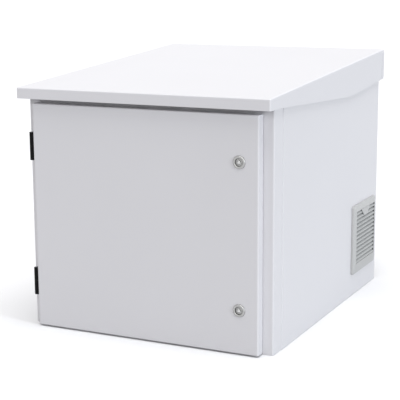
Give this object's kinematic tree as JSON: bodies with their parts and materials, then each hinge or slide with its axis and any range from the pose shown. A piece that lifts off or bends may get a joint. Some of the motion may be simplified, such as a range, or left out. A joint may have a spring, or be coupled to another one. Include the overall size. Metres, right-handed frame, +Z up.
{
  "type": "outdoor utility cabinet",
  "caption": "Sheet-steel outdoor equipment cabinet with a sloped rain canopy, a hinged front door with quarter-turn locks, a side filter fan and a rack frame inside.",
  "frame": {"origin": "bottom centre of the whole cabinet with its canopy, on the surface it stands on", "axes": "+X to the cabinet's right as seen from its door, +Y from the door to the back, +Z up"},
  "size_m": [0.6162, 0.76, 0.6019],
  "materials": {
    "cabinet_paint": "light grey powder coat, fine texture",
    "zinc_sheet": "zinc-plated sheet, satin",
    "fastener_steel": "zinc-plated fasteners",
    "hinge_black": "black powder-coated die casting",
    "lock_metal": "satin nickel-plated die casting",
    "washer_plastic": "natural nylon",
    "gasket_foam": "closed-cell foam",
    "grommet_rubber": "matt rubber",
    "vent_plastic": "moulded light grey plastic, fine grain",
    "filter_fleece": "white filter fleece",
    "fan_body": "black-coated die casting",
    "fan_blades": "black moulded plastic",
    "guard_wire": "bright wire",
    "brass": "plain brass"
  },
  "bodies": {
    "cabinet": {"base_pan": "cabinet_paint", "body_earth_nut": "brass", "body_earth_stud": "brass", "body_wrap": "cabinet_paint", "cable_grommets": "grommet_rubber", "canopy": "cabinet_paint", "canopy_bolts": "fastener_steel", "canopy_nuts": "fastener_steel", "canopy_rail_left": "zinc_sheet", "canopy_rail_right": "zinc_sheet", "depth_channel_lower_left": "zinc_sheet", "depth_channel_lower_right": "zinc_sheet", "depth_channel_upper_left": "zinc_sheet", "depth_channel_upper_right": "zinc_sheet", "fan_guard": "guard_wire", "fan_housing": "fan_body", "fan_screws": "fastener_steel", "filter_mat": "filter_fleece", "front_frame": "cabinet_paint", "gland_plate": "zinc_sheet", "gland_plate_gasket": "gasket_foam", "gland_plate_nuts": "fastener_steel", "hinge_body_screws": "fastener_steel", "hinge_washers": "washer_plastic", "lower_hinge_body_half": "hinge_black", "lower_hinge_pin": "fastener_steel", "rack_rail_front_left": "zinc_sheet", "rack_rail_front_right": "zinc_sheet", "rack_rail_rear_left": "zinc_sheet", "rack_rail_rear_right": "zinc_sheet", "rail_nuts": "fastener_steel", "rail_screws": "fastener_steel", "top_panel": "cabinet_paint", "upper_hinge_body_half": "hinge_black", "upper_hinge_pin": "fastener_steel", "vent_frame": "vent_plastic"},
    "door": {"door_panel": "cabinet_paint", "door_gasket": "gasket_foam", "door_stiffener_left": "zinc_sheet", "door_stiffener_right": "zinc_sheet", "upper_hinge_door_half": "hinge_black", "lower_hinge_door_half": "hinge_black", "hinge_door_screws": "fastener_steel", "upper_lock_housing": "lock_metal", "upper_lock_nut": "lock_metal", "lower_lock_housing": "lock_metal", "lower_lock_nut": "lock_metal", "door_earth_stud": "brass", "door_earth_nut": "brass"},
    "upper_lock_core": {"upper_lock_spindle": "lock_metal", "upper_lock_cam": "lock_metal", "upper_lock_cam_screw": "fastener_steel"},
    "lower_lock_core": {"lower_lock_spindle": "lock_metal", "lower_lock_cam": "lock_metal", "lower_lock_cam_screw": "fastener_steel"},
    "vent_cover": {"vent_cover": "vent_plastic"},
    "fan_rotor": {"fan_rotor": "fan_blades"}
  },
  "joints": [
    {"name": "door_swing", "type": "hinge", "parent": "cabinet", "child": "door", "pos_m": [-0.2815, -0.36, 0.2593], "axis": [0, 0, -1], "range_deg": [0, 180]},
    {"name": "upper_lock_turn", "type": "hinge", "parent": "door", "child": "upper_lock_core", "pos_m": [0.231, -0.3664, 0.4165], "axis": [0, -1, 0], "range_deg": [0, 90]},
    {"name": "lower_lock_turn", "type": "hinge", "parent": "door", "child": "lower_lock_core", "pos_m": [0.231, -0.3664, 0.0986], "axis": [0, -1, 0], "range_deg": [0, 90]},
    {"name": "vent_cover_tip", "type": "hinge", "parent": "cabinet", "child": "vent_cover", "pos_m": [0.3025, 0.248, 0.057], "axis": [0, 1, 0], "range_deg": [0, 90]},
    {"name": "fan_spin", "type": "hinge", "parent": "cabinet", "child": "fan_rotor", "pos_m": [0.26, 0.248, 0.142], "axis": [1, 0, 0], "continuous": true}
  ]
}
